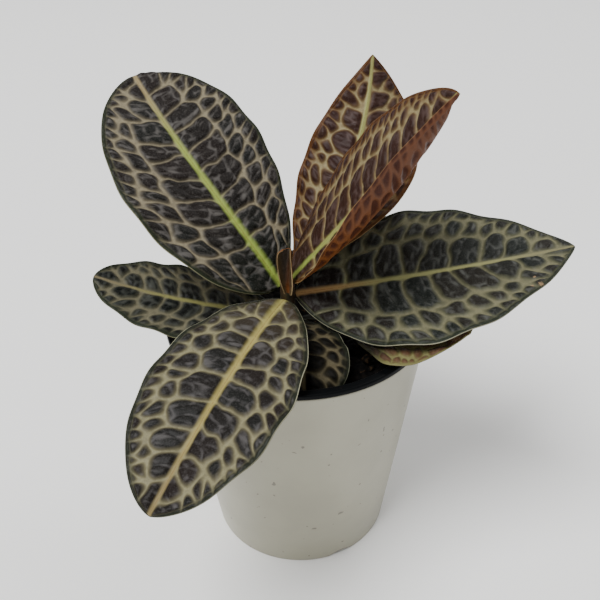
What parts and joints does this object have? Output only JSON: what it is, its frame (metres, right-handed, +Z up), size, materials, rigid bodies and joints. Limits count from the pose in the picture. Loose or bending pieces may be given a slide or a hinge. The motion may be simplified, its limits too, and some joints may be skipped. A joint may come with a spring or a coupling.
{
  "type": "potted turtle back labisia",
  "caption": "Potted foliage plant: broad dark leaves with a pale raised vein net on a short stem, rooted in soil in a black nursery pot inside a tapered white pot.",
  "frame": {"origin": "middle of the white pot's flat underside", "axes": "+Z up, -Y towards the camera's side of the picture, +X to the picture's right"},
  "size_m": [0.2132, 0.1903, 0.2279],
  "materials": {
    "white_plastic": "satin, moulded",
    "black_plastic": "satin, moulded",
    "soil": "rough, damp",
    "stem": "matte",
    "leaf_upper_left": "satin",
    "leaf_back": "satin",
    "leaf_front_folded": "satin",
    "leaf_right": "satin",
    "leaf_lower_left": "satin",
    "leaf_left": "satin",
    "leaf_front_shaded": "satin",
    "leaf_lower_right": "satin",
    "young_leaf": "satin"
  },
  "bodies": {
    "root": {"white_pot": "white_plastic", "nursery_pot": "black_plastic", "soil": "soil", "stem": "stem", "leaf_upper_left": "leaf_upper_left", "leaf_back": "leaf_back", "leaf_front_folded": "leaf_front_folded", "leaf_right": "leaf_right", "leaf_lower_left": "leaf_lower_left", "leaf_left": "leaf_left", "leaf_front_shaded": "leaf_front_shaded", "leaf_lower_right": "leaf_lower_right", "young_leaf": "young_leaf"}
  },
  "joints": []
}
